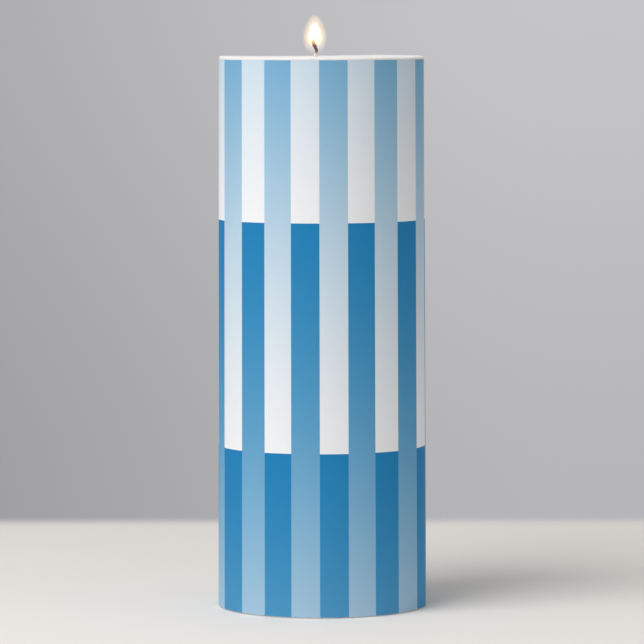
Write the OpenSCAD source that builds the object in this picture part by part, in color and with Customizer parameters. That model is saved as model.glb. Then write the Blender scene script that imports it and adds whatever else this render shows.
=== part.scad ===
// Tall round pillar candle: a pressed wax core in a dipped wax jacket, a printed film wrap that laps
// at the back, and a wick that a crimped tinplate sustainer holds in the base.
// Millimetres, +Z up. The foot stands on z = 0 and the front faces -Y.

/* [Pillar] */
// Height of the wax from its foot to its rim
pillar_h = 203.2; // [100:0.1:300]
// Diameter of the wax at its foot
foot_d = 76.7; // [56:0.1:120]
// Draft of the side, in degrees
draft = 0.2; // [0.1:0.05:1]
// Radius of the rounded rim
rim_r = 0.6; // [0.3:0.1:1.5]
// Radius of the rounded foot edge
foot_r = 0.25; // [0.1:0.05:1]

/* [Jacket] */
// Thickness of the jacket on the side
jacket_t = 1.8; // [1:0.1:4]
// Thickness of the jacket over the top
cap_t = 4; // [3.2:0.1:8]
// Bevel of the core's top edge, under the jacket
core_bevel = 3; // [1:0.5:8]

/* [Melt well] */
// Diameter of the melt well round the wick
well_d = 20; // [14:0.5:40]
// Depth of the melt well
well_depth = 2.7; // [1:0.1:3.5]

/* [Base] */
// Width of the ring that the candle stands on
stand_w = 12; // [6:0.5:18]
// Depth of the hollow inside the ring
hollow_depth = 0.8; // [0.4:0.1:2]

/* [Wrap] */
// Thickness of the printed film
film_t = 0.15; // [0.05:0.01:0.3]
// Clearance between the wax and the wrap
film_gap = 0.05; // [0.02:0.01:0.2]
// Bare wax between the foot edge and the wrap
wrap_foot_gap = 0.1; // [0.1:0.1:10]
// Bare wax between the wrap and the rim
wrap_rim_gap = 0.4; // [0.1:0.1:10]
// Width of the lap at the back
lap_w = 9; // [4:0.5:20]

/* [Wick] */
// Diameter of the wick
wick_d = 1.8; // [1.2:0.1:3]
// Diameter of its charred tip
tip_d = 1.4; // [0.8:0.1:1.7]
// Length of the tip above the bend
tip_len = 7.9; // [4:0.1:15]
// Lean of the tip from upright, in degrees
tip_lean = 22; // [5:1:45]
// Radius of the bend
bend_r = 4; // [3:0.5:8]
// Clearance round the wick in the core
wick_gap = 0.15; // [0.1:0.05:0.5]

/* [Sustainer] */
// Diameter of the disc
disc_d = 20; // [14:0.5:28]
// Thickness of the tinplate
sheet_t = 0.3; // [0.2:0.05:0.5]
// Height of the neck above the disc
neck_h = 9.5; // [7:0.5:15]
// Radius where the neck is drawn out of the disc
draw_r = 0.8; // [0.4:0.1:1.5]
// Radius of the groove that is rolled round the neck
crimp_r = 1.2; // [0.8:0.1:2]
// Depth that the groove pinches the wick
crimp_depth = 0.25; // [0.1:0.05:0.4]
// Clearance of the neck in the core
neck_gap = 0.15; // [0.1:0.05:0.5]

/* [Seal] */
// Width of the seal outside the disc
seal_w = 2; // [1:0.1:4]
// Reach of the seal under the edge of the disc
seal_lap = 1; // [0.6:0.1:3]
// Thickness of the seal under the disc
seal_t = 0.5; // [0.3:0.1:0.6]

/* [Hidden] */
$fn = 144;

// How far a cut runs past the face that it opens
past = 1;

WAX = [0.94, 0.92, 0.90];
PRESSED_WAX = [0.92, 0.91, 0.88];
PRINT = [0.48, 0.68, 0.82];
COTTON = [0.45, 0.36, 0.27];
TINPLATE = [0.72, 0.73, 0.74];
SEALING_WAX = [0.88, 0.86, 0.80];

// Radius of the wax at a height on its drafted side
function wax_r(z) = foot_d / 2 - z * tan(draft);

// Where a rounded edge of the wax meets its drafted side: its centre's radius, and the tangent point
function edge_centre(z, r) = wax_r(z) - r / cos(draft);
function side_tangent(z, r) = [edge_centre(z, r) + r * cos(draft), z + r * sin(draft)];

rim_z = pillar_h - rim_r;
core_top = pillar_h - cap_t;
well_floor = pillar_h - well_depth;
well_r = (well_d * well_d / 4 + well_depth * well_depth) / (2 * well_depth);

// The sustainer hangs from the roof of a pocket that the seal closes flush with the hollow
seat_z = hollow_depth + seal_t + sheet_t;
disc_z = seat_z - sheet_t;
pocket_r = disc_d / 2 + seal_w;
neck_ir = wick_d / 2;
neck_or = neck_ir + sheet_t;
mouth_r = neck_or + draw_r;

// The groove is rolled half way up the straight of the neck
crimp_z = seat_z + (neck_h + draw_r) / 2;
crimp_axis_r = neck_or + crimp_r - crimp_depth;

wrap_z0 = side_tangent(foot_r, foot_r)[1] + wrap_foot_gap;
wrap_z1 = side_tangent(rim_z, rim_r)[1] - wrap_rim_gap;
lap_angle = 360 * lap_w / (PI * foot_d);

// Half section of the whole wax body, core and jacket together
module pillar_section() {
    polygon([
        [0, 0], [edge_centre(foot_r, foot_r), 0], side_tangent(foot_r, foot_r),
        side_tangent(rim_z, rim_r), [edge_centre(rim_z, rim_r), pillar_h], [0, pillar_h]
    ]);
    translate([edge_centre(foot_r, foot_r), foot_r]) circle(r = foot_r);
    translate([edge_centre(rim_z, rim_r), rim_z]) circle(r = rim_r);
}

// Half section of the pressed core, before it is drilled
module core_section() {
    polygon([
        [0, 0], [wax_r(0) - jacket_t, 0], [wax_r(core_top - core_bevel) - jacket_t, core_top - core_bevel],
        [wax_r(core_top) - jacket_t - core_bevel, core_top], [0, core_top]
    ]);
}

// Half section of the bore for the neck, with the chamfer that clears its drawn mouth
module neck_bore_section() {
    bore_r = neck_or + neck_gap;
    bore_top = seat_z + neck_h + neck_gap;
    polygon([
        [0, seat_z - past], [bore_r + draw_r, seat_z - past], [bore_r + draw_r, seat_z],
        [bore_r, seat_z + draw_r], [bore_r, bore_top], [0, bore_top]
    ]);
}

// Outline of the roll that pinches the neck and the wick, grown by the sheet where asked
module crimp_outline(grow = 0) {
    translate([crimp_axis_r, crimp_z]) circle(r = crimp_r + grow);
}

// Half section of the film on the drafted side, in one layer or more
module film_section(layers) {
    inside = film_gap / cos(draft);
    outside = inside + layers * film_t / cos(draft);
    polygon([
        [wax_r(wrap_z0) + inside, wrap_z0], [wax_r(wrap_z0) + outside, wrap_z0],
        [wax_r(wrap_z1) + outside, wrap_z1], [wax_r(wrap_z1) + inside, wrap_z1]
    ]);
}

module wax_core() {
    color(PRESSED_WAX)
        rotate_extrude()
            difference() {
                core_section();
                translate([-past, -past]) square([past + wick_d / 2 + wick_gap, pillar_h]);
                neck_bore_section();
                translate([-past, -past]) square([past + pocket_r, past + seat_z]);
                translate([-past, -past]) square([past + foot_d / 2 - stand_w, past + hollow_depth]);
            }
}

module wax_jacket() {
    color(WAX)
        rotate_extrude()
            difference() {
                pillar_section();
                core_section();
                translate([-past, 0]) square([past + wick_d / 2, pillar_h]);
                translate([0, well_floor + well_r]) circle(r = well_r);
            }
}

// One film, whose end lies over its start at the back
module printed_wrap() {
    color(PRINT) {
        rotate([0, 0, 90 + lap_angle / 2]) rotate_extrude(angle = 360 - lap_angle) film_section(layers = 1);
        rotate([0, 0, 90 - lap_angle / 2]) rotate_extrude(angle = lap_angle) film_section(layers = 2);
    }
}

// Upright through the pillar, then bent at the floor of the well, towards -X
module wick() {
    upright = well_floor - disc_z;
    color(COTTON)
        translate([0, 0, well_floor]) {
            rotate_extrude()
                difference() {
                    translate([0, -upright]) square([wick_d / 2, upright]);
                    translate([0, -well_floor]) crimp_outline(grow = sheet_t);
                }
            translate([-bend_r, 0, 0])
                rotate([90, 0, 0]) {
                    rotate_extrude(angle = tip_lean) translate([bend_r, 0]) circle(d = wick_d);
                    rotate([0, 0, tip_lean]) translate([bend_r, 0, 0]) rotate([-90, 0, 0]) wick_tip();
                }
        }
}

// The charred tip, standing on its thicker end, which is burnt a little thinner than the bend and rooted in it
module wick_tip() {
    root = wick_d / 6;
    straight = tip_len - tip_d / 2;
    translate([0, 0, -root]) cylinder(d1 = 0.94 * wick_d, d2 = tip_d, h = root + straight);
    translate([0, 0, straight]) sphere(d = tip_d);
}

// Stamped from one sheet: a flat disc, a drawn mouth and a neck that a rolled groove crimps on the wick
module wick_sustainer() {
    bend_outer_r = draw_r + sheet_t;
    color(TINPLATE)
        rotate_extrude()
            difference() {
                union() {
                    translate([mouth_r, disc_z]) square([disc_d / 2 - mouth_r, sheet_t]);
                    translate([mouth_r, seat_z + draw_r])
                        intersection() {
                            difference() {
                                circle(r = bend_outer_r);
                                circle(r = draw_r);
                            }
                            translate([-bend_outer_r, -bend_outer_r]) square(bend_outer_r);
                        }
                    translate([neck_ir, seat_z + draw_r]) square([sheet_t, neck_h - draw_r]);
                    intersection() {
                        crimp_outline(grow = sheet_t);
                        translate([0, seat_z]) square([neck_or, neck_h]);
                    }
                }
                crimp_outline();
            }
}

// Fills the pocket round the disc and laps its edge from below with a rounded lip
module base_seal() {
    nose_r = disc_d / 2 - seal_lap + seal_t;
    color(SEALING_WAX)
        rotate_extrude() {
            translate([disc_d / 2, hollow_depth]) square([seal_w, seal_t + sheet_t]);
            translate([nose_r, hollow_depth]) square([disc_d / 2 - nose_r, seal_t]);
            translate([nose_r, disc_z])
                intersection() {
                    circle(r = seal_t);
                    translate([-seal_t, -seal_t]) square(seal_t);
                }
        }
}

wax_core();
wax_jacket();
printed_wrap();
wick();
wick_sustainer();
base_seal();
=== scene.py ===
import math

import bmesh
import bpy
from bpy.props import FloatProperty, FloatVectorProperty, IntProperty, PointerProperty
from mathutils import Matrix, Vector, noise


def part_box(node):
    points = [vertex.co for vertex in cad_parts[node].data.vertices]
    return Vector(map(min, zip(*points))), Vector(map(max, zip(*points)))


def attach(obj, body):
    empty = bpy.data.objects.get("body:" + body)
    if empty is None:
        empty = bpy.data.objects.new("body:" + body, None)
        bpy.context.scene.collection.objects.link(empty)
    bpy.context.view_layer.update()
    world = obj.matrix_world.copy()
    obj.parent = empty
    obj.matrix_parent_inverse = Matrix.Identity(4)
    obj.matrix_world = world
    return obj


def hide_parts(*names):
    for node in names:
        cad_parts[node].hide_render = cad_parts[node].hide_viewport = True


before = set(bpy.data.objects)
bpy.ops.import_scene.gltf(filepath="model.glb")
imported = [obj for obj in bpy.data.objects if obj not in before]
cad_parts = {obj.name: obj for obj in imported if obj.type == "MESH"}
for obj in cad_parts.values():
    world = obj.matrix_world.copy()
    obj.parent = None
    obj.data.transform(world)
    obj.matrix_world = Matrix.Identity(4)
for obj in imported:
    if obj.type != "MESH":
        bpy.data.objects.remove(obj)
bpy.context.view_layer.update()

bl_info = {
    "name": "Striped Pillar Candle",
    "version": (1, 0, 0),
    "blender": (4, 5, 0),
    "location": "View3D > Sidebar > Candle",
    "description": "Dresses the solids of a lit pillar candle: wax, striped film, braided wick and flame",
    "category": "Object",
}

# One millimetre in metres
MM = 0.001
# The one body that every piece of the candle rides on
BODY = "root"
# Points closer than this are one point
WELD = 1e-7
# Steps of a full turn of the lathe
TURN_STEPS = 192
# Edges that turn by more than this stay crisp
CRISP = math.radians(35)
# Steps of the ramp that fades the ink
FADE_STEPS = 16
# Power that turns a linear colour into one that is even to the eye
PRINT_GAMMA = 2.2
BLACK = (0.0, 0.0, 0.0)

_, CORE_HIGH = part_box("wax_core")
_, JACKET_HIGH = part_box("wax_jacket")
WRAP_LOW, WRAP_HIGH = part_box("printed_wrap")
WICK_LOW, WICK_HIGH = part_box("wick")
SUSTAINER_LOW, SUSTAINER_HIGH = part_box("wick_sustainer")
SEAL_LOW, SEAL_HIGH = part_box("base_seal")


# Settings

def linear(red, green, blue):
    """Linear colour of an sRGB triple from 0 to 255."""
    def channel(value):
        share = value / 255
        return share / 12.92 if share <= 0.04045 else ((share + 0.055) / 1.055) ** 2.4
    return channel(red), channel(green), channel(blue)


def number(name, description, default, **limits):
    """A number with its unit or limits."""
    return FloatProperty(name=name, description=description, default=default, **limits)


def numbers(name, description, defaults, **limits):
    """Several numbers with their unit or limits."""
    return FloatVectorProperty(
        name=name, description=description, default=defaults, size=len(defaults), **limits
    )


def length(name, description, default):
    """A length in metres."""
    return number(name, description, default, unit="LENGTH", precision=5)


def lengths(name, description, *defaults):
    """Several lengths in metres."""
    return numbers(name, description, defaults, unit="LENGTH", precision=5)


def angle(name, description, degrees):
    """An angle, given in degrees and kept in radians."""
    return number(name, description, math.radians(degrees), subtype="ANGLE")


def angles(name, description, *degrees):
    """Several angles, given in degrees and kept in radians."""
    return numbers(name, description, [math.radians(each) for each in degrees], subtype="EULER")


def factor(name, description, default):
    """A share from 0 to 1."""
    return number(name, description, default, subtype="FACTOR", min=0, max=1)


def count(name, description, default):
    """A count, from two up."""
    return IntProperty(name=name, description=description, default=default, min=2)


def colour(name, description, red, green, blue):
    """A colour, given as an sRGB triple and kept linear."""
    return numbers(name, description, linear(red, green, blue), subtype="COLOR", min=0, max=1)


class CandlePillar(bpy.types.PropertyGroup):
    """The wax: a pressed core in a dipped jacket"""

    height: length("Height", "Height of the wax from its foot to its rim", JACKET_HIGH.z)
    foot_radius: length("Foot radius", "Radius of the wax at its foot", JACKET_HIGH.x)
    draft: angle("Draft", "Slope of the side", 0.2)
    rim: length("Rim", "Radius of the rounded rim", 0.6 * MM)
    foot_edge: length("Foot edge", "Radius of the rounded foot edge", 0.25 * MM)
    wall: length("Jacket wall", "Thickness of the jacket on the side", JACKET_HIGH.x - CORE_HIGH.x)
    core_top: length("Core top", "Height of the core under the jacket", CORE_HIGH.z)
    core_bevel: length("Core bevel", "Bevel of the core's top edge", 3 * MM)
    well_radius: length("Well radius", "Radius of the melt well round the wick", 10 * MM)
    well_depth: length("Well depth", "Depth of the melt well", 2.7 * MM)
    lip: length("Well lip", "Rounding where the top falls into the well", 2.5 * MM)
    pool_drop: length("Pool drop", "Depth of the molten wax below the rim", 1.5 * MM)
    stand_width: length("Stand width", "Width of the ring that the candle stands on", 12 * MM)
    hollow: length("Hollow", "Depth of the hollow in the base", SEAL_LOW.z)
    hollow_edge: length("Hollow edge", "Rounding of the hollow's edges", 0.3 * MM)
    swells: lengths(
        "Swells", "How far the cooled top swells up at the back, the left and the right",
        0.37 * MM, 0.36 * MM, 0.05 * MM,
    )
    swell_turns: angles("Swell turns", "Direction of each swell, from +X towards +Y", 43, 176, 5)
    swell_spreads: angles("Swell spreads", "Angle to either side where each swell dies away", 36, 26, 17)
    ripple: length("Ripple", "Unevenness of the cooled top", 0.1 * MM)
    ripple_length: length("Ripple length", "Length of the ripples", 14 * MM)
    uneven_band: lengths("Uneven band", "Heights from the rim where unevenness sets in", -3 * MM, -1 * MM)
    light_wax: colour("Light wax", "Lightest tone of the jacket", 240, 236, 233)
    dull_wax: colour("Dull wax", "Dullest tone of the jacket", 234, 230, 226)
    molten_wax: colour("Molten wax", "Colour of the molten wax", 238, 231, 218)
    pressed_wax: colour("Pressed wax", "Colour of the core's grains", 244, 241, 234)
    grain_gap: colour("Grain gaps", "Colour between the core's grains", 224, 219, 209)


class CandleWrap(bpy.types.PropertyGroup):
    """The printed film round the side"""

    bottom: length("Bottom", "Height of the lower edge", WRAP_LOW.z)
    top: length("Top", "Height of the upper edge", WRAP_HIGH.z)
    thickness: length("Thickness", "Thickness of the film", WRAP_HIGH.y - WRAP_HIGH.x)
    gap: length("Gap", "Clearance between the wax and the film", 0.05 * MM)
    lap: length("Lap", "Width of the lap at the back", 9 * MM)
    lift: length("Lift", "Width over which the film climbs on its own start", 1.5 * MM)
    stripes: count("Stripes", "Stripes round the candle, an even count", 22)
    first_edge: angle("First edge", "Edge of the first stripe, from the front towards +X", -1.41)
    stretch: angle("Stretch", "How far the stripes near the front are drawn towards it", 1.21)
    stretch_turn: angle("Stretch turn", "Middle of the front, from -Y towards +X", 4)
    side_slip: angle("Side slip", "How far the stripes beside the front slip towards the back", 5)
    slip_start: angle("Slip start", "Angle from the middle of the front where they begin to slip", 50)
    slip_end: angle("Slip end", "Angle from the middle of the front where they have slipped", 70)
    low_step: length("Low step", "Height where white meets dark on every second stripe", 59.88 * MM)
    high_step: length("High step", "Height where white meets dark on the stripes between", 143.46 * MM)
    fade: length("Fade", "Height over which dark fades to white", 242 * MM)
    dark: colour("Dark", "Darkest ink, below a step", 37, 131, 188)
    white: colour("White", "Unprinted film, above a step", 246, 247, 250)


class CandleWick(bpy.types.PropertyGroup):
    """The braided wick"""

    foot: length("Foot", "Height of its lower end", WICK_LOW.z)
    radius: length("Radius", "Radius of the braid", WICK_HIGH.x)
    waist: length("Waist", "Radius where it is burnt thin", 0.62 * MM)
    head: length("Head", "Radius of the charred head", 0.8 * MM)
    bend: length("Bend", "Radius of the bend at the floor of the well", 4 * MM)
    lean: angle("Lean", "Lean of the tip from upright", 22)
    tip: length("Tip", "Length above the bend", 7.9 * MM)
    sway: length("Sway", "How far it sways aside above the well", 1.25 * MM)
    sway_length: length("Sway length", "Length over which it sways", 5.6 * MM)
    pairs: count("Yarn pairs", "Yarns laid each way round", 4)
    yarn: length("Yarn", "Radius of one yarn", 0.28 * MM)
    weave: length("Weave", "How far a yarn rises over another", 0.11 * MM)
    lay: length("Lay", "Height of one turn of a yarn", 7 * MM)
    ragged: length("Ragged end", "How far the ends of the yarns differ", 0.6 * MM)
    pinch: factor("Pinch", "Share of the radius lost in the crimp", 0.25)
    scorch_band: lengths("Scorch band", "Heights above the rim where the cotton scorches", 0.7 * MM, 2 * MM)
    char_band: lengths("Char band", "Heights above the rim where it chars", 1.6 * MM, 3.1 * MM)
    ember_band: lengths("Ember band", "Heights above the rim where it begins to glow", 3.8 * MM, 5.8 * MM)
    mottle: length("Mottle", "How far patches of the cotton shift those heights", 1.2 * MM)
    cotton: colour("Cotton", "Wax-soaked cotton", 250, 226, 216)
    scorched: colour("Scorched", "Cotton that begins to char", 128, 96, 86)
    char: colour("Char", "Charred cotton", 96, 44, 52)
    ember: colour("Ember", "Glow of the tip", 236, 190, 84)


class CandleBase(bpy.types.PropertyGroup):
    """The sustainer and its seal in the base"""

    disc_radius: length("Disc radius", "Radius of the sustainer's disc", SUSTAINER_HIGH.x)
    disc_bottom: length("Disc bottom", "Height of the disc's underside", SUSTAINER_LOW.z)
    neck_top: length("Neck top", "Height of the neck's end", SUSTAINER_HIGH.z)
    sheet: length("Sheet", "Thickness of the tinplate", 0.3 * MM)
    draw: length("Draw", "Radius where the neck is drawn out of the disc", 0.8 * MM)
    crimp: length("Crimp", "Depth of the groove that grips the wick", 0.25 * MM)
    crimp_width: length("Crimp width", "Width of the groove", 1.6 * MM)
    clearance: length("Clearance", "Clearance of the neck and the wick in the core", 0.15 * MM)
    seal_radius: length("Seal radius", "Outer radius of the seal", SEAL_HIGH.x)
    seal_top: length("Seal top", "Height of the pocket's roof", SEAL_HIGH.z)
    seal_lap: length("Seal lap", "Reach of the seal under the disc", 1 * MM)
    seal_edge: length("Seal edge", "Rounding where the seal and the core meet", 0.1 * MM)
    seal_nose: length("Seal nose", "Rounding of the seal's lip", 0.4 * MM)
    seal_waver: length("Seal waver", "Unevenness of the seal's lip", 0.3 * MM)
    tin: colour("Tin", "Bright tinplate", 222, 222, 219)
    dull_tin: colour("Dull tin", "Dull crystals of the tinplate", 190, 191, 191)
    seal: colour("Seal", "Sealing wax", 240, 234, 220)
    seal_shade: colour("Seal shade", "Thin sealing wax", 226, 218, 201)


class CandleFlame(bpy.types.PropertyGroup):
    """The flame, in layers from its mantle to its heart"""

    axis: length("Axis", "Place of its axis along X", -2.4 * MM)
    lean: length("Lean", "How far it stands behind the wick, which curls out of its front", 2.2 * MM)
    base: length("Base", "Height of its lowest point", 203.7 * MM)
    waist: length("Waist", "Height where it is widest", 211.2 * MM)
    top: length("Top", "Height of its top", 218.6 * MM)
    girth: length("Girth", "Radius where it is widest", 4.4 * MM)
    heart_base: length("Heart base", "Height of the heart's lowest point", 208.6 * MM)
    heart_waist: length("Heart waist", "Height where the heart is widest", 210.4 * MM)
    heart_top: length("Heart top", "Height of the heart's top", 215.0 * MM)
    heart_girth: length("Heart girth", "Radius of the heart where it is widest", 2.0 * MM)
    taper: factor("Taper", "How far the top draws in", 0.16)
    fullness: factor("Fullness", "How full the foot is", 0.25)
    layers: count("Layers", "Layers from the mantle to the heart", 16)
    thickness: factor("Thickness", "Cover of one layer", 0.12)
    power: number("Power", "Brightness of the heart", 3.0, min=0)
    mantle: colour("Mantle", "Outer glow", 248, 230, 208)
    body: colour("Body", "Glow between the mantle and the heart", 255, 243, 214)
    heart: colour("Heart", "Brightest glow", 255, 255, 252)
    foot: colour("Foot", "Glow at the foot", 232, 230, 240)
    tint: colour("Tint", "Tint of the heart round the tip of the wick", 255, 232, 145)
    tint_band: lengths("Tint band", "Heights where the tint dies away", 208.6 * MM, 211.3 * MM)
    foot_band: lengths("Foot band", "Heights where the glow of the foot gives way", 203.7 * MM, 209.2 * MM)
    cover_band: lengths("Cover band", "Heights where the glow thickens", 201.7 * MM, 208.2 * MM)
    clear_front: factor("Clear front", "Share of the glow missing in front of the wick", 0.9)
    clear_band: lengths("Clear band", "Heights where the clear front closes", 207.2 * MM, 211.2 * MM)
    front_band: lengths("Front band", "Places along Y where the clear front ends", -1 * MM, 1 * MM)


class CandleStage(bpy.types.PropertyGroup):
    """Floor, backdrop, lamp and camera"""

    camera_side: length("Camera side", "Place of the camera along X", 0.3 * MM)
    camera_distance: length("Camera distance", "Distance of the camera in front of the candle", 1574.1 * MM)
    camera_height: length("Camera height", "Height of the camera above the floor", 216.8 * MM)
    camera_pitch: angle("Camera pitch", "How far the camera looks down", 4.056)
    camera_roll: angle("Camera roll", "How far the camera tips to the right", 0.12)
    lens: number("Lens", "Focal length in millimetres", 238.36, subtype="DISTANCE_CAMERA")
    floor_reach: length("Floor reach", "Radius of the floor", 900 * MM)
    floor_hole: length("Floor hole", "Radius of the floor's opening under the foot", 0.992 * JACKET_HIGH.x)
    floor_drop: length("Floor drop", "How far the floor lies below the foot", 0.02 * MM)
    floor_back: length("Floor back", "Distance of the floor's far edge behind the candle", 263 * MM)
    floor_blur: length("Floor blur", "Softness of the floor's far edge", 20 * MM)
    floor: colour("Floor", "Pale floor in front", 241, 236, 230)
    # Darker than the floor in front: painted shade that dims the floor towards its far edge
    shaded_far_floor: colour("Far floor", "Pale floor at its far edge", 234, 230, 225)
    light_backdrop: colour("Light backdrop", "Backdrop at the right", 198, 197, 200)
    dark_backdrop: colour("Dark backdrop", "Backdrop at the left", 166, 165, 168)
    backdrop_shade: factor("Backdrop shade", "Share of light that the backdrop loses near the floor", 0.17)
    fill: number("Fill", "Strength of the light from all round", 0.437, min=0)
    key_power: number("Key power", "Power of the large lamp in watts", 21.6, subtype="POWER")
    key_distance: length("Key distance", "Distance of the large lamp", 1.7)
    key_turn: angle("Key turn", "Direction of the large lamp, from the front towards +X", -44)
    key_rise: angle("Key rise", "Height of the large lamp above the horizon", 54)
    key_width: length("Key width", "Width of the large lamp", 1.0)


class CandleSettings(bpy.types.PropertyGroup):
    """All settings of the candle"""

    pillar: PointerProperty(name="Pillar", description="The wax", type=CandlePillar)
    wrap: PointerProperty(name="Wrap", description="The printed film", type=CandleWrap)
    wick: PointerProperty(name="Wick", description="The braided wick", type=CandleWick)
    base: PointerProperty(name="Base", description="The sustainer and its seal", type=CandleBase)
    flame: PointerProperty(name="Flame", description="The flame", type=CandleFlame)
    stage: PointerProperty(name="Stage", description="Floor, backdrop, lamp and camera", type=CandleStage)


# Shapes

def smooth(share):
    """Eases a share from 0 to 1."""
    share = min(max(share, 0.0), 1.0)
    return share * share * (3 - 2 * share)


def ramp(value, low, high):
    """0 below the low value, 1 above the high one, eased between them."""
    return smooth((value - low) / (high - low))


def blend(start, stop, share):
    """A number part of the way between two others."""
    return start + (stop - start) * share


def evenly(start, stop, steps):
    """Evenly spaced numbers from the first to the last."""
    return [blend(start, stop, step / steps) for step in range(steps + 1)]


def wax_radius(pillar, height):
    """Radius of the drafted side at a height."""
    return pillar.foot_radius - height * math.tan(pillar.draft)


def core_side(pillar):
    """Corners of the core's outside, from its foot to its top, where the jacket lies on it."""
    shoulder = pillar.core_top - pillar.core_bevel
    bevels = ((0, 0), (shoulder, 0), (pillar.core_top, pillar.core_bevel))
    return [(wax_radius(pillar, height) - pillar.wall - bevel, height, 0) for height, bevel in bevels]


def well_ball(pillar):
    """Radius of the ball whose lower end is the melt well."""
    return (pillar.well_radius ** 2 + pillar.well_depth ** 2) / (2 * pillar.well_depth)


def well_height(pillar, radius):
    """Height of the round floor of the melt well at a distance from the axis."""
    ball = well_ball(pillar)
    return pillar.height - pillar.well_depth + ball - math.sqrt(ball ** 2 - radius ** 2)


def crimp_height(base):
    """Height of the groove, half way up the straight of the neck."""
    return (base.neck_top + base.seal_top + base.draw) / 2


def rounded(corners, closed=True, steps=6):
    """Points of a half section whose corners, each (radius, height, rounding), are rounded by arcs."""
    before = corners[-1:] + corners[:-1]
    after = corners[1:] + corners[:1]
    points = []
    for index, (x, z, rounding) in enumerate(corners):
        corner = Vector((x, z))
        end = not closed and index in (0, len(corners) - 1)
        if end or rounding == 0:
            points.append(corner)
            continue
        back = (Vector(before[index][:2]) - corner).normalized()
        ahead = (Vector(after[index][:2]) - corner).normalized()
        half = back.angle(ahead) / 2
        centre = corner + (back + ahead).normalized() * rounding / math.sin(half)
        start = corner + back * rounding / math.tan(half) - centre
        stop = corner + ahead * rounding / math.tan(half) - centre
        for share in evenly(0, 1, steps):
            points.append(centre + start.lerp(stop, share).normalized() * rounding)
    return points


def sheet_section(path, thickness):
    """Closed half section of a sheet that follows a path."""
    sides = ([], [])
    for index, point in enumerate(path):
        along = (path[min(index + 1, len(path) - 1)] - path[max(index - 1, 0)]).normalized()
        across = Vector((-along.y, along.x)) * thickness / 2
        sides[0].append(point + across)
        sides[1].append(point - across)
    return sides[0] + sides[1][::-1]


def lathe(outline, closed=True, steps=TURN_STEPS, bm=None):
    """Turns a half section of (radius, height) points about the Z axis, in a new bmesh or a given one."""
    bm = bmesh.new() if bm is None else bm
    corners = [bm.verts.new((x, 0.0, z)) for x, z in outline]
    following = corners[1:] + corners[:1] if closed else corners[1:]
    edges = [bm.edges.new(pair) for pair in zip(corners, following)]
    bmesh.ops.spin(
        bm, geom=corners + edges, axis=(0, 0, 1), angle=math.tau, steps=steps, use_merge=True
    )
    return bm


def finished(bm, name, material, stands_for=None):
    """The bmesh as a smooth piece that rides on the candle's body."""
    bmesh.ops.remove_doubles(bm, verts=bm.verts, dist=WELD)
    bmesh.ops.recalc_face_normals(bm, faces=bm.faces)
    mesh = bpy.data.meshes.new(name)
    bm.to_mesh(mesh)
    bm.free()
    mesh.shade_smooth()
    mesh.set_sharp_from_angle(angle=CRISP)
    return placed(mesh, name, material, stands_for)


def linked(name, data):
    """A new object in the scene."""
    made = bpy.data.objects.new(name, data)
    bpy.context.scene.collection.objects.link(made)
    return made


def placed(data, name, material, stands_for=None):
    """A mesh or a curve as a piece that rides on the candle's body."""
    data.materials.append(material)
    piece = linked(name, data)
    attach(piece, BODY)
    if stands_for:
        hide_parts(stands_for)
    return piece


# Finishes

def math_node(operation):
    """An operator for sockets, which adds the Math node of that operation."""
    return lambda value, other: value.nodes.math(operation, value, other)


class Value:
    """A socket that takes part in arithmetic: each operator adds the Math node that it stands for."""

    def __init__(self, nodes, socket):
        self.nodes = nodes
        self.socket = socket

    def output(self, name):
        """Another output of the same node."""
        return Value(self.nodes, self.socket.node.outputs[name])

    __add__ = __radd__ = math_node("ADD")
    __mul__ = __rmul__ = math_node("MULTIPLY")
    __sub__ = math_node("SUBTRACT")
    __truediv__ = math_node("DIVIDE")
    __mod__ = math_node("FLOORED_MODULO")

    def __rsub__(self, other):
        return self.nodes.math("SUBTRACT", other, self)

    def __neg__(self):
        return self * -1.0


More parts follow.
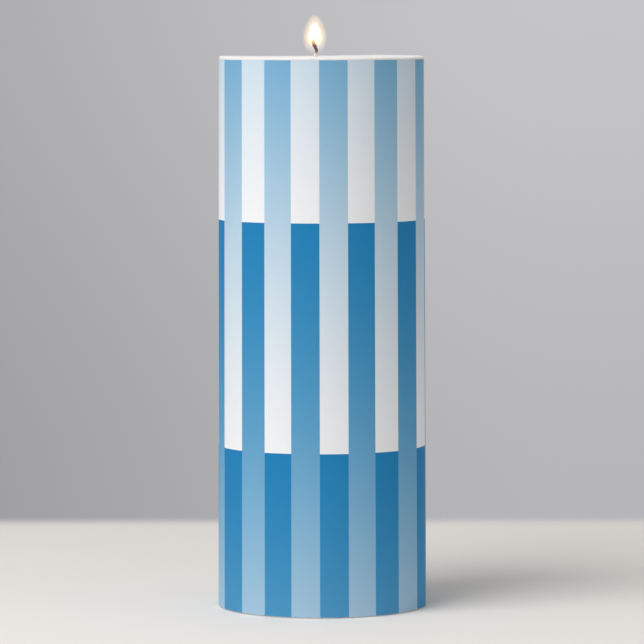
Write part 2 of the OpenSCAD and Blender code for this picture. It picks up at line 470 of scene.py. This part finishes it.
class Nodes:
    """Adds nodes to one node tree."""

    def __init__(self, tree):
        self.tree = tree

    def node(self, kind, settings=None, sockets=None, output=0):
        """One node: its settings come first, then a value or a link for each socket."""
        made = self.tree.nodes.new(kind)
        for name, setting in (settings or {}).items():
            if name == "stops":
                self.set_stops(made.color_ramp.elements, setting)
            else:
                setattr(made, name, setting)
        self.feed(made, sockets or {})
        return Value(self, made.outputs[output])

    def feed(self, node, sockets):
        """Links or sets the sockets of a node."""
        for name, value in sockets.items():
            if isinstance(value, Value):
                self.tree.links.new(value.socket, node.inputs[name])
            else:
                node.inputs[name].default_value = value

    def set_stops(self, elements, stops):
        """Gives a ramp its (place, colour) stops."""
        elements.remove(elements[1])
        elements[0].position = stops[0][0]
        elements[0].color = (*stops[0][1], 1.0)
        for place, tone in stops[1:]:
            elements.new(place).color = (*tone, 1.0)

    def math(self, operation, *values):
        """A Math node."""
        return self.node("ShaderNodeMath", {"operation": operation}, dict(enumerate(values)))

    def between(self, value, low, high):
        """The ramp as a node: 0 below the low value, 1 above the high one, eased between them."""
        return self.node(
            "ShaderNodeMapRange", {"interpolation_type": "SMOOTHSTEP"},
            {"Value": value, "From Min": low, "From Max": high},
        )

    def mix(self, share, first, second, blend_type="MIX"):
        """A colour part of the way from the first to the second, or to a blend of both."""
        tones = [tone if isinstance(tone, Value) else (*tone, 1.0) for tone in (first, second)]
        return self.node(
            "ShaderNodeMix", {"data_type": "RGBA", "blend_type": blend_type},
            {0: share, 6: tones[0], 7: tones[1]}, output=2,
        )

    def point(self):
        """The point in Object coordinates."""
        return self.node("ShaderNodeTexCoord", output="Object")

    def axes(self, vector=None):
        """X, Y and Z of a vector, or of the point."""
        parts = self.node("ShaderNodeSeparateXYZ", sockets={0: vector or self.point()})
        return parts, parts.output(1), parts.output(2)

    def from_axis(self):
        """Distance from the Z axis."""
        x, y, _ = self.axes()
        return self.math("SQRT", x * x + y * y)

    def noise(self, scale, detail=2.0, vector=None):
        """Soft noise from 0 to 1, with so many swells in a metre."""
        sockets = {"Vector": vector or self.point(), "Scale": scale, "Detail": detail}
        return self.node("ShaderNodeTexNoise", sockets=sockets)

    def cells(self, scale, output=0):
        """Cells, with so many in a metre: the distance from the middle, or a colour for each cell."""
        sockets = {"Vector": self.point(), "Scale": scale}
        return self.node("ShaderNodeTexVoronoi", sockets=sockets, output=output)

    def bump(self, height, distance, strength):
        """Normals of a relief of that height."""
        sockets = {"Height": height, "Distance": distance, "Strength": strength}
        return self.node("ShaderNodeBump", sockets=sockets)


class Finish(Nodes):
    """A material with one Principled shader."""

    def __init__(self, name):
        self.material = bpy.data.materials.new(name)
        self.material.use_nodes = True
        super().__init__(self.material.node_tree)
        self.shader = self.tree.nodes["Principled BSDF"]

    def surface(self, sockets):
        """Sets the shader's sockets and gives back the material."""
        self.feed(self.shader, sockets)
        return self.material


def dipped_wax(pillar):
    """Satin white wax, cloudy and faintly frosted, and glossier where the heat has melted it."""
    wax = Finish("dipped_wax")
    _, _, z = wax.axes()
    cloud = wax.noise(70, detail=3)
    frost = wax.noise(1100, detail=4)
    cold = wax.between(wax.from_axis(), 0.8 * pillar.well_radius, 1.5 * pillar.well_radius)
    below = wax.between(z, pillar.height - 2 * pillar.well_depth, pillar.height - pillar.well_depth)
    melted = (1 - cold) * below
    return wax.surface({
        "Base Color": wax.mix(0.7 * cloud + 0.3 * frost, pillar.dull_wax, pillar.light_wax),
        "Roughness": 0.42 + 0.2 * frost - 0.25 * melted,
        "Normal": wax.bump(cloud + 0.15 * frost, 0.3 * MM, 0.6),
        "Subsurface Weight": 0.9,
        "Subsurface Radius": (1.0, 0.95, 0.9),
        "Subsurface Scale": 2.5 * MM,
        "Specular IOR Level": 0.35,
        "IOR": 1.44,
    })


def molten_wax(pillar):
    """Clear liquid wax over the white floor of the well."""
    wax = Finish("molten_wax")
    edge = wax.between(wax.from_axis(), 0.2 * pillar.well_radius, 0.75 * pillar.well_radius)
    return wax.surface({
        "Base Color": wax.mix(edge, pillar.molten_wax, pillar.dull_wax),
        "Roughness": 0.04,
        "Subsurface Weight": 0.2,
        "Subsurface Scale": 1.5 * MM,
        "IOR": 1.44,
    })


def pressed_wax(pillar):
    """Grains of wax, pressed together and rubbed flat."""
    wax = Finish("pressed_wax")
    grain = wax.cells(850)
    fine = wax.noise(2600, detail=3)
    return wax.surface({
        "Base Color": wax.mix(wax.between(grain, 0.75, 0.25), pillar.grain_gap, pillar.pressed_wax),
        "Roughness": 0.6 + 0.2 * fine,
        "Normal": wax.bump(0.3 * fine - grain, 0.15 * MM, 0.7),
        "Subsurface Weight": 0.1,
        "Subsurface Scale": 1.5 * MM,
    })


def striped_film(wrap):
    """Satin film with stripes that fade from dark to white and step back to dark."""
    film = Finish("striped_film")
    x, y, z = film.axes()
    turned = film.math("ARCTAN2", x, -y)
    aside = turned - wrap.stretch_turn
    away = film.math("ABSOLUTE", aside)
    slip = wrap.side_slip * film.between(away, wrap.slip_start, wrap.slip_end) * (1 - away / math.pi)
    drawn = turned + wrap.stretch * film.math("SINE", 2 * aside) - slip * film.math("SIGN", aside)
    stripe = film.math("FLOOR", (drawn - wrap.first_edge) * (wrap.stripes / math.tau))
    step = wrap.low_step + (stripe % 2.0) * (wrap.high_step - wrap.low_step)
    faded = film.math("FRACT", (step - z) * (1 / wrap.fade))
    stops = []
    for share in evenly(0, 1, FADE_STEPS):
        ease = (share + smooth(share)) / 2
        tone = [ink_between(dark, white, ease) for dark, white in zip(wrap.dark, wrap.white)]
        stops.append((share, tone))
    ink = film.node("ShaderNodeValToRGB", {"stops": stops}, {"Fac": faded})
    grain = film.noise(2400)
    waver = film.noise(130)
    return film.surface({
        "Base Color": film.mix(0.05 * grain, ink, BLACK),
        "Roughness": 0.46 + 0.08 * grain + 0.06 * waver,
        "Normal": film.bump(waver + 0.02 * grain, 0.12 * MM, 0.5),
        "Specular IOR Level": 0.04,
    })


def ink_between(dark, white, share):
    """One linear channel part of the way between two, as print mixes them: evenly by eye."""
    return blend(dark ** (1 / PRINT_GAMMA), white ** (1 / PRINT_GAMMA), share) ** PRINT_GAMMA


def wick_cotton(wick, pillar):
    """Cotton yarn: soaked with wax below, scorched above it, charred in the flame and aglow at the tip."""
    cotton = Finish("wick_cotton")
    _, _, z = cotton.axes()
    fibre = cotton.noise(5200, detail=3)
    patch = cotton.noise(900)
    above_rim = z + (patch - 0.5) * wick.mottle - pillar.height
    scorch = cotton.between(above_rim, *wick.scorch_band)
    charred = cotton.between(above_rim, *wick.char_band)
    aglow = cotton.between(above_rim, *wick.ember_band)
    yarn = cotton.mix(scorch, wick.cotton, wick.scorched)
    burnt = cotton.mix(charred * (0.75 + 0.25 * fibre), yarn, wick.char)
    return cotton.surface({
        "Base Color": burnt,
        "Roughness": 0.55 + 0.35 * charred,
        "Emission Color": cotton.mix(aglow, BLACK, wick.ember),
        "Emission Strength": 1.0,
        "Specular IOR Level": 0.2,
        "Normal": cotton.bump(fibre, 0.06 * MM, 0.8),
    })


def tinplate(base):
    """Stamped tinplate with faint crystals and the round marks of the press."""
    tin = Finish("tinplate")
    _, _, z = tin.axes()
    section = tin.node("ShaderNodeCombineXYZ", sockets={0: tin.from_axis(), 1: z})
    marks = tin.noise(5200, detail=3, vector=section)
    crystal = tin.node("ShaderNodeSeparateColor", sockets={0: tin.cells(520, output=1)})
    return tin.surface({
        "Base Color": tin.mix(0.5 * crystal + 0.5 * marks, base.dull_tin, base.tin),
        "Metallic": 1.0,
        "Roughness": 0.2 + 0.14 * crystal + 0.1 * marks,
        "Normal": tin.bump(marks, 0.02 * MM, 0.5),
    })


def sealing_wax(base):
    """Poured wax, glossy and a little uneven."""
    wax = Finish("sealing_wax")
    cloud = wax.noise(260, detail=3)
    return wax.surface({
        "Base Color": wax.mix(cloud, base.seal_shade, base.seal),
        "Roughness": 0.22 + 0.2 * cloud,
        "Normal": wax.bump(cloud, 0.25 * MM, 0.7),
        "Subsurface Weight": 0.25,
        "Subsurface Scale": 1.5 * MM,
    })


def burning_gas(flame):
    """Clear glow: whiter towards the heart, bluish at the foot, and thin in front of the wick."""
    gas = Finish("burning_gas")
    _, y, z = gas.axes()
    depth = gas.node("ShaderNodeAttribute", {"attribute_name": "depth"}, output="Fac")
    mantle, body, foot = (
        [channel / flame.power for channel in tone] for tone in (flame.mantle, flame.body, flame.foot)
    )
    stops = [(0.3, mantle), (0.6, body), (0.9, flame.heart)]
    glow = gas.node("ShaderNodeValToRGB", {"stops": stops}, {"Fac": depth})
    tinted = gas.between(depth, 0.6, 0.9) * (1 - gas.between(z, *flame.tint_band))
    glow = gas.mix(tinted, glow, flame.tint, "MULTIPLY")
    cover = gas.between(z, *flame.cover_band) * (0.65 + 0.35 * gas.between(depth, 0.0, 0.4))
    in_front = (1 - gas.between(y, *flame.front_band)) * (1 - gas.between(z, *flame.clear_band))
    gas.material.cycles.emission_sampling = "NONE"
    return gas.surface({
        "Base Color": (*BLACK, 1.0),
        "Specular IOR Level": 0.0,
        "Emission Color": gas.mix(gas.between(z, *flame.foot_band), foot, glow),
        "Emission Strength": flame.power,
        "Alpha": flame.thickness * cover * (1 - flame.clear_front * in_front),
    })


def pale_floor(stage):
    """Matt floor, painted darker towards its far edge as painted shade, that ends softly behind the candle
    and shows from above only.
    """
    floor = Finish("pale_floor")
    _, y, _ = floor.axes()
    speck = floor.noise(320, detail=4)
    grain = floor.noise(9, detail=3)
    # Painted shade: the floor's colour darkens from the front towards its far edge
    away = floor.between(y, -0.5 * stage.floor_back, stage.floor_back)
    floor.surface({
        "Base Color": floor.mix(
            0.03 * speck + 0.03 * grain, floor.mix(away, stage.floor, stage.shaded_far_floor), BLACK
        ),
        "Roughness": 0.7,
        "Specular IOR Level": 0.2,
    })
    seen = floor.node("ShaderNodeLightPath", output="Is Camera Ray")
    from_below = seen * floor.node("ShaderNodeNewGeometry", output="Backfacing")
    past_edge = floor.between(y, stage.floor_back - stage.floor_blur, stage.floor_back + stage.floor_blur)
    shown = floor.node("ShaderNodeMixShader", sockets={
        0: floor.math("MAXIMUM", from_below, past_edge),
        1: Value(floor, floor.shader.outputs[0]),
        2: floor.node("ShaderNodeBsdfTransparent"),
    })
    floor.feed(floor.tree.nodes["Material Output"], {"Surface": shown})
    return floor.material


def grey_backdrop(stage):
    """World that lights evenly and shows a grey backdrop to the camera and in reflections."""
    world = bpy.data.worlds.new("grey_backdrop")
    world.use_nodes = True
    nodes = Nodes(world.node_tree)
    side, _, rise = nodes.axes(nodes.node("ShaderNodeTexCoord", output="Generated"))
    light_path = nodes.node("ShaderNodeLightPath")
    seen = light_path.output("Is Camera Ray")
    for ray in ("Is Glossy Ray", "Is Transmission Ray"):
        seen = nodes.math("MAXIMUM", seen, light_path.output(ray))
    to_right = nodes.between(side, -0.14, 0.06)
    upwards = nodes.between(rise, -0.12, 0.02)
    backdrop = nodes.mix(to_right, stage.dark_backdrop, stage.light_backdrop)
    shaded = nodes.mix(stage.backdrop_shade * (1 - upwards), backdrop, BLACK)
    nodes.feed(nodes.tree.nodes["Background"], {"Color": nodes.mix(seen, [stage.fill] * 3, shaded)})
    return world


# Pieces

class CANDLE_OT_pressed_core(bpy.types.Operator):
    """Turns the pressed core, drilled for the wick and hollowed in its base"""

    bl_idname = "candle.pressed_core"
    bl_label = "Pressed Core"

    def execute(self, context):
        candle = context.scene.candle
        pillar, wick, base = candle.pillar, candle.wick, candle.base
        wick_bore = wick.radius + base.clearance
        neck_bore = wick.radius + base.sheet + base.clearance
        stand = pillar.foot_radius - pillar.stand_width
        outline = rounded([
            *core_side(pillar),
            (wick_bore, pillar.core_top, 0),
            (wick_bore, base.neck_top + base.clearance, 0),
            (neck_bore, base.neck_top + base.clearance, 0),
            (neck_bore, base.seal_top + base.draw, 0),
            (neck_bore + base.draw, base.seal_top, 0),
            (base.seal_radius, base.seal_top, 0),
            (base.seal_radius, pillar.hollow, base.seal_edge),
            (stand, pillar.hollow, pillar.hollow_edge),
            (stand, 0, pillar.hollow_edge),
        ])
        finished(lathe(outline), "pressed_core", pressed_wax(pillar), "wax_core")
        return {"FINISHED"}


class CANDLE_OT_dipped_jacket(bpy.types.Operator):
    """Turns the dipped jacket, with its rounded rim and melt well, and swells its cooled top"""

    bl_idname = "candle.dipped_jacket"
    bl_label = "Dipped Jacket"

    top_rings = 18
    well_rings = 24

    def execute(self, context):
        candle = context.scene.candle
        pillar, wick = candle.pillar, candle.wick
        rim_radius = wax_radius(pillar, pillar.height)
        top_radii = evenly(rim_radius - 2 * pillar.rim, pillar.well_radius + pillar.lip, self.top_rings)
        well_radii = evenly(pillar.well_radius - pillar.lip, wick.radius, self.well_rings)
        outline = rounded([
            (wax_radius(pillar, 0), 0, pillar.foot_edge),
            (rim_radius, pillar.height, pillar.rim),
            *((radius, pillar.height, 0) for radius in top_radii),
            (pillar.well_radius, pillar.height, 3 * pillar.lip),
            *((radius, well_height(pillar, radius), 0) for radius in well_radii),
            (wick.radius, pillar.core_top, 0),
            *reversed(core_side(pillar)),
        ])
        bm = lathe(outline)
        for vert in bm.verts:
            vert.co.z += self.unevenness(pillar, vert.co)
        finished(bm, "dipped_jacket", dipped_wax(pillar), "wax_jacket")
        return {"FINISHED"}

    def unevenness(self, pillar, point):
        """How far the cooled top stands above the plain one at a point."""
        near_top = ramp(point.z - pillar.height, *pillar.uneven_band)
        about = math.atan2(point.y, point.x)
        raised = pillar.ripple * noise.noise(Vector((point.x, point.y, 0)) / pillar.ripple_length)
        for swell, direction, spread in zip(pillar.swells, pillar.swell_turns, pillar.swell_spreads):
            aside = math.remainder(about - direction, math.tau) / spread
            raised += swell * math.exp(-aside * aside) * smooth(point.xy.length / pillar.foot_radius)
        return near_top * raised


class CANDLE_OT_melt_pool(bpy.types.Operator):
    """Turns the pool of molten wax in the well, drawn up a little at the wick and at its edge"""

    bl_idname = "candle.melt_pool"
    bl_label = "Melt Pool"

    rings = 28
    # How far the pool reaches into the wax, so that no gap shows
    sunk = 0.1 * MM
    # Height that the liquid climbs, and the distance over which the climb dies away
    wick_climb = 0.45 * MM
    wick_reach = 0.5 * MM
    edge_climb = 0.12 * MM
    edge_reach = 0.4 * MM

    def execute(self, context):
        candle = context.scene.candle
        pillar, wick = candle.pillar, candle.wick
        level = pillar.height - pillar.pool_drop
        depth = pillar.well_depth - pillar.pool_drop
        edge = math.sqrt(depth * (2 * well_ball(pillar) - depth)) + self.sunk
        radii = evenly(0, edge, self.rings)
        surface = [(radius, level + self.drawn_up(radius, wick.radius, edge)) for radius in radii]
        floor = [(radius, well_height(pillar, radius) - self.sunk) for radius in radii[-3::-2]]
        finished(lathe(surface + floor, closed=False), "melt_pool", molten_wax(pillar))
        return {"FINISHED"}

    def drawn_up(self, radius, wick_radius, edge):
        """Height that the liquid climbs at the wick and at the edge of the pool."""
        at_wick = self.wick_climb * math.exp(-max(radius - wick_radius, 0) / self.wick_reach)
        at_edge = self.edge_climb * math.exp(-(edge - radius) / self.edge_reach)
        return at_wick + at_edge


class CANDLE_OT_film_wrap(bpy.types.Operator):
    """Rolls the printed film round the side, with its end lapped over its start at the back"""

    bl_idname = "candle.film_wrap"
    bl_label = "Film Wrap"

    columns = 260
    rows = 12

    def execute(self, context):
        candle = context.scene.candle
        pillar, wrap = candle.pillar, candle.wrap
        lap_turn = wrap.lap / pillar.foot_radius
        lift_turn = wrap.lift / pillar.foot_radius
        start = math.pi / 2 - lap_turn / 2
        bm = bmesh.new()
        bmesh.ops.create_grid(bm, x_segments=self.columns, y_segments=self.rows, size=0.5)
        for vert in bm.verts:
            rolled = (vert.co.x + 0.5) * (math.tau + lap_turn)
            height = blend(wrap.bottom, wrap.top, vert.co.y + 0.5)
            climb = wrap.thickness * ramp(rolled, math.tau - lift_turn, math.tau)
            radius = wax_radius(pillar, height) + wrap.gap + climb
            vert.co = (radius * math.cos(start + rolled), radius * math.sin(start + rolled), height)
        bmesh.ops.recalc_face_normals(bm, faces=bm.faces)
        bmesh.ops.solidify(bm, geom=bm.faces[:], thickness=-wrap.thickness)
        finished(bm, "film_wrap", striped_film(wrap), "printed_wrap")
        return {"FINISHED"}


class CANDLE_OT_braided_wick(bpy.types.Operator):
    """Braids the wick from its foot in the sustainer to its leaning tip"""

    bl_idname = "candle.braided_wick"
    bl_label = "Braided Wick"

    step = 0.25 * MM
    # How far the heart ends below the braid that it fills
    heart_short = 1 * MM
    # Angle that staggers the ends of the yarns
    stagger = 2.4
    # Shares of the tip where it is burnt thinnest, and where its head begins and is full
    thinnest = 0.4
    head_start = 0.5
    head_full = 0.75

    def execute(self, context):
        candle = context.scene.candle
        wick = candle.wick
        upright = candle.pillar.height - candle.pillar.well_depth - wick.foot
        bent = upright + wick.bend * wick.lean
        whole = bent + wick.tip
        laid = wick.radius - wick.yarn - wick.weave
        curve = bpy.data.curves.new("braided_wick", "CURVE")
        curve.dimensions = "3D"
        curve.bevel_depth = wick.yarn
        curve.bevel_resolution = 1
        curve.use_fill_caps = True
        yarns = [(hand, index) for hand in (1, -1) for index in range(wick.pairs)]
        for number, (hand, index) in enumerate(yarns):
            end = whole - wick.ragged * (0.5 + 0.5 * math.sin(self.stagger * number))
            points = []
            for knot in range(int(end / self.step) + 1):
                along = knot * self.step
                wound = math.tau * along / wick.lay
                about = hand * wound + math.tau * index / wick.pairs
                girth = self.girth(wick, candle.base, along, (along - bent) / wick.tip)
                out = girth * (laid + hand * wick.weave * math.cos(wick.pairs * wound))
                points.append((self.spot(wick, upright, along, about, out), girth))
            self.add_yarn(curve, points)
        heart_step = 2 * self.step
        heart = [heart_step * knot for knot in range(int((whole - self.heart_short) / heart_step))]
        self.add_yarn(curve, [(self.spot(wick, upright, along, 0, 0), 1.0) for along in heart])
        placed(curve, "braided_wick", wick_cotton(wick, candle.pillar), "wick")
        return {"FINISHED"}

    def girth(self, wick, base, along, tip):
        """Share of the full thickness at a length from the foot, which is so far up the tip."""
        radius = blend(wick.radius, wick.waist, ramp(tip, 0, self.thinnest))
        radius = blend(radius, wick.head, ramp(tip, self.head_start, self.head_full))
        from_crimp = (along + wick.foot - crimp_height(base)) / (base.crimp_width / 2)
        return radius / wick.radius - wick.pinch * math.exp(-from_crimp ** 2)

    def spot(self, wick, upright, along, about, out):
        """Point beside the centre line: upright, then round the bend, then straight on."""
        turned = min(max((along - upright) / wick.bend, 0), wick.lean)
        beyond = max(along - upright - wick.bend * wick.lean, 0)
        centre = Vector((wick.bend * (math.cos(turned) - 1), 0, wick.foot + min(along, upright)))
        centre.z += wick.bend * math.sin(turned)
        centre += beyond * Vector((-math.sin(turned), 0, math.cos(turned)))
        swayed = min(max((along - upright) / wick.sway_length, 0), 1)
        centre.x -= wick.sway * math.sin(math.pi * swayed) ** 2
        across = Vector((math.cos(turned), 0, math.sin(turned)))
        return centre + out * (math.cos(about) * across + math.sin(about) * Vector((0, 1, 0)))

    def add_yarn(self, curve, points):
        """One spline through points that are each a place and a thickness."""
        spline = curve.splines.new("POLY")
        spline.points.add(len(points) - 1)
        for knot, (place, thickness) in zip(spline.points, points):
            knot.co = (*place, 1.0)
            knot.radius = thickness


class CANDLE_OT_crimped_sustainer(bpy.types.Operator):
    """Turns the tinplate sustainer: disc, drawn mouth, and neck with the groove that grips the wick"""

    bl_idname = "candle.crimped_sustainer"
    bl_label = "Crimped Sustainer"

    def execute(self, context):
        candle = context.scene.candle
        wick, base = candle.wick, candle.base
        middle = base.disc_bottom + base.sheet / 2
        neck = wick.radius + base.sheet / 2
        crimp = crimp_height(base)
        path = rounded([
            (base.disc_radius, middle, 0),
            (neck, middle, base.draw + base.sheet / 2),
            (neck, crimp - base.crimp_width / 2, base.crimp),
            (neck - base.crimp, crimp, 2 * base.crimp),
            (neck, crimp + base.crimp_width / 2, base.crimp),
            (neck, base.neck_top, 0),
        ], closed=False)
        bm = lathe(sheet_section(path, base.sheet))
        finished(bm, "crimped_sustainer", tinplate(base), "wick_sustainer")
        return {"FINISHED"}


class CANDLE_OT_sealing_ring(bpy.types.Operator):
    """Turns the ring of wax that holds the sustainer in its pocket, with a wavering poured lip"""

    bl_idname = "candle.sealing_ring"
    bl_label = "Sealing Ring"

    # Radius of the circle along which the lip's noise is read: a larger one makes more waves
    noise_reach = 4

    def execute(self, context):
        candle = context.scene.candle
        base = candle.base
        lip = base.disc_radius - base.seal_lap
        outline = rounded([
            (base.disc_radius, base.seal_top, 0),
            (base.seal_radius, base.seal_top, 0),
            (base.seal_radius, candle.pillar.hollow, base.seal_edge),
            (lip, candle.pillar.hollow, base.seal_nose),
            (lip, base.disc_bottom, 0),
            (base.disc_radius, base.disc_bottom, 0),
        ])
        bm = lathe(outline)
        for vert in bm.verts:
            share = smooth((base.disc_radius - vert.co.xy.length) / base.seal_lap)
            waver = base.seal_waver * share * noise.noise(vert.co.normalized() * self.noise_reach)
            vert.co.xy += vert.co.xy.normalized() * waver
        finished(bm, "sealing_ring", sealing_wax(base), "base_seal")
        return {"FINISHED"}


class CANDLE_OT_flame(bpy.types.Operator):
    """Turns the flame as layers, each inside the last, from the mantle to the heart"""

    bl_idname = "candle.flame"
    bl_label = "Flame"

    rings = 32
    turn_steps = 40
    # Share of the way to its waist where it has leaned back
    lean_end = 0.625
    # Share of the way from its waist to its top where it has drawn in
    taper_end = 0.7

    def execute(self, context):
        flame = context.scene.candle.flame
        bm = bmesh.new()
        depth_layer = bm.verts.layers.float.new("depth")
        for layer in range(flame.layers):
            outline = self.outline(flame, layer / (flame.layers - 1))
            lathe(outline, closed=False, steps=self.turn_steps, bm=bm)
            fresh = [vert for vert in bm.verts if vert[depth_layer] == 0]
            for vert in fresh:
                vert[depth_layer] = (layer + 1) / flame.layers
        for vert in bm.verts:
            risen = (vert.co.z - flame.base) / (flame.waist - flame.base)
            vert.co += Vector((flame.axis, flame.lean * smooth(risen / self.lean_end), 0))
        piece = finished(bm, "flame", burning_gas(flame))
        piece.visible_shadow = False
        return {"FINISHED"}

    def outline(self, flame, share):
        """Half section of one layer, from its lowest point to its top: an egg with a drawn-in top."""
        base, waist, top, girth = (
            blend(getattr(flame, name), getattr(flame, f"heart_{name}"), share)
            for name in ("base", "waist", "top", "girth")
        )
        points = []
        for swing in evenly(math.pi, 0, self.rings):
            rise = math.cos(swing)
            reach = top - waist if rise > 0 else waist - base
            drawn_in = 1 - flame.taper * smooth(rise / self.taper_end)
            width = max(math.sin(swing), 0) ** (1 if rise > 0 else 1 - flame.fullness)
            points.append((girth * width * drawn_in, waist + reach * rise))
        return points


class CANDLE_OT_stage(bpy.types.Operator):
    """Sets the floor, the backdrop, the lamp and the camera"""

    bl_idname = "candle.stage"
    bl_label = "Stage"

    def execute(self, context):
        scene = context.scene
        stage = scene.candle.stage
        self.lay_floor(stage)
        scene.world = grey_backdrop(stage)
        self.hang_key(stage)
        self.aim_camera(scene, stage)
        scene.view_settings.view_transform = "Standard"
        # Twice what a sight line needs, which crosses each layer of the flame twice
        scene.cycles.transparent_max_bounces = 4 * scene.candle.flame.layers
        return {"FINISHED"}

    def lay_floor(self, stage):
        """A round floor just below the foot, open under it so that light reaches the base."""
        edges = [(radius, -stage.floor_drop) for radius in (stage.floor_hole, stage.floor_reach)]
        bm = lathe(edges, closed=False)
        mesh = bpy.data.meshes.new("floor")
        bm.to_mesh(mesh)
        bm.free()
        mesh.materials.append(pale_floor(stage))
        floor = linked("floor", mesh)

    def hang_key(self, stage):
        """One large soft lamp, at the front left and above."""
        data = bpy.data.lights.new("key", "AREA")
        data.energy = stage.key_power
        data.size = stage.key_width
        lamp = linked("key", data)
        aim = Vector((0, 0, JACKET_HIGH.z / 2))
        level = math.cos(stage.key_rise)
        towards = Vector((
            level * math.sin(stage.key_turn), -level * math.cos(stage.key_turn), math.sin(stage.key_rise)
        ))
        lamp.location = aim + towards * stage.key_distance
        lamp.rotation_euler = (-towards).to_track_quat("-Z", "Y").to_euler()

    def aim_camera(self, scene, stage):
        """A long lens in front, looking a little down."""
        data = bpy.data.cameras.new("camera")
        data.lens = stage.lens
        data.clip_start = 10 * MM
        camera = linked("camera", data)
        camera.location = (stage.camera_side, -stage.camera_distance, stage.camera_height)
        camera.rotation_euler = (math.pi / 2 - stage.camera_pitch, stage.camera_roll, 0)
        scene.camera = camera


class CANDLE_PT_panel(bpy.types.Panel):
    """Settings and pieces of the candle"""

    bl_idname = "CANDLE_PT_panel"
    bl_label = "Pillar Candle"
    bl_space_type = "VIEW_3D"
    bl_region_type = "UI"
    bl_category = "Candle"

    def draw(self, context):
        candle = context.scene.candle
        for group in ("pillar", "wrap", "wick", "base", "flame", "stage"):
            settings = getattr(candle, group)
            box = self.layout.box()
            box.label(text=group.capitalize())
            for name in settings.__annotations__:
                box.prop(settings, name)
        for operator in OPERATORS:
            self.layout.operator(operator.bl_idname)


GROUPS = (
    CandlePillar, CandleWrap, CandleWick, CandleBase, CandleFlame, CandleStage, CandleSettings,
)
OPERATORS = (
    CANDLE_OT_pressed_core, CANDLE_OT_dipped_jacket, CANDLE_OT_melt_pool, CANDLE_OT_film_wrap,
    CANDLE_OT_braided_wick, CANDLE_OT_crimped_sustainer, CANDLE_OT_sealing_ring, CANDLE_OT_flame,
    CANDLE_OT_stage,
)
CLASSES = (*GROUPS, *OPERATORS, CANDLE_PT_panel)


def register():
    for cls in CLASSES:
        bpy.utils.register_class(cls)
    bpy.types.Scene.candle = PointerProperty(name="Candle", description="The candle", type=CandleSettings)


def unregister():
    del bpy.types.Scene.candle
    for cls in reversed(CLASSES):
        bpy.utils.unregister_class(cls)


def main():
    register()
    bpy.ops.candle.pressed_core()
    bpy.ops.candle.dipped_jacket()
    bpy.ops.candle.melt_pool()
    bpy.ops.candle.film_wrap()
    bpy.ops.candle.braided_wick()
    bpy.ops.candle.crimped_sustainer()
    bpy.ops.candle.sealing_ring()
    bpy.ops.candle.flame()
    bpy.ops.candle.stage()


if __name__ == "__main__":
    main()
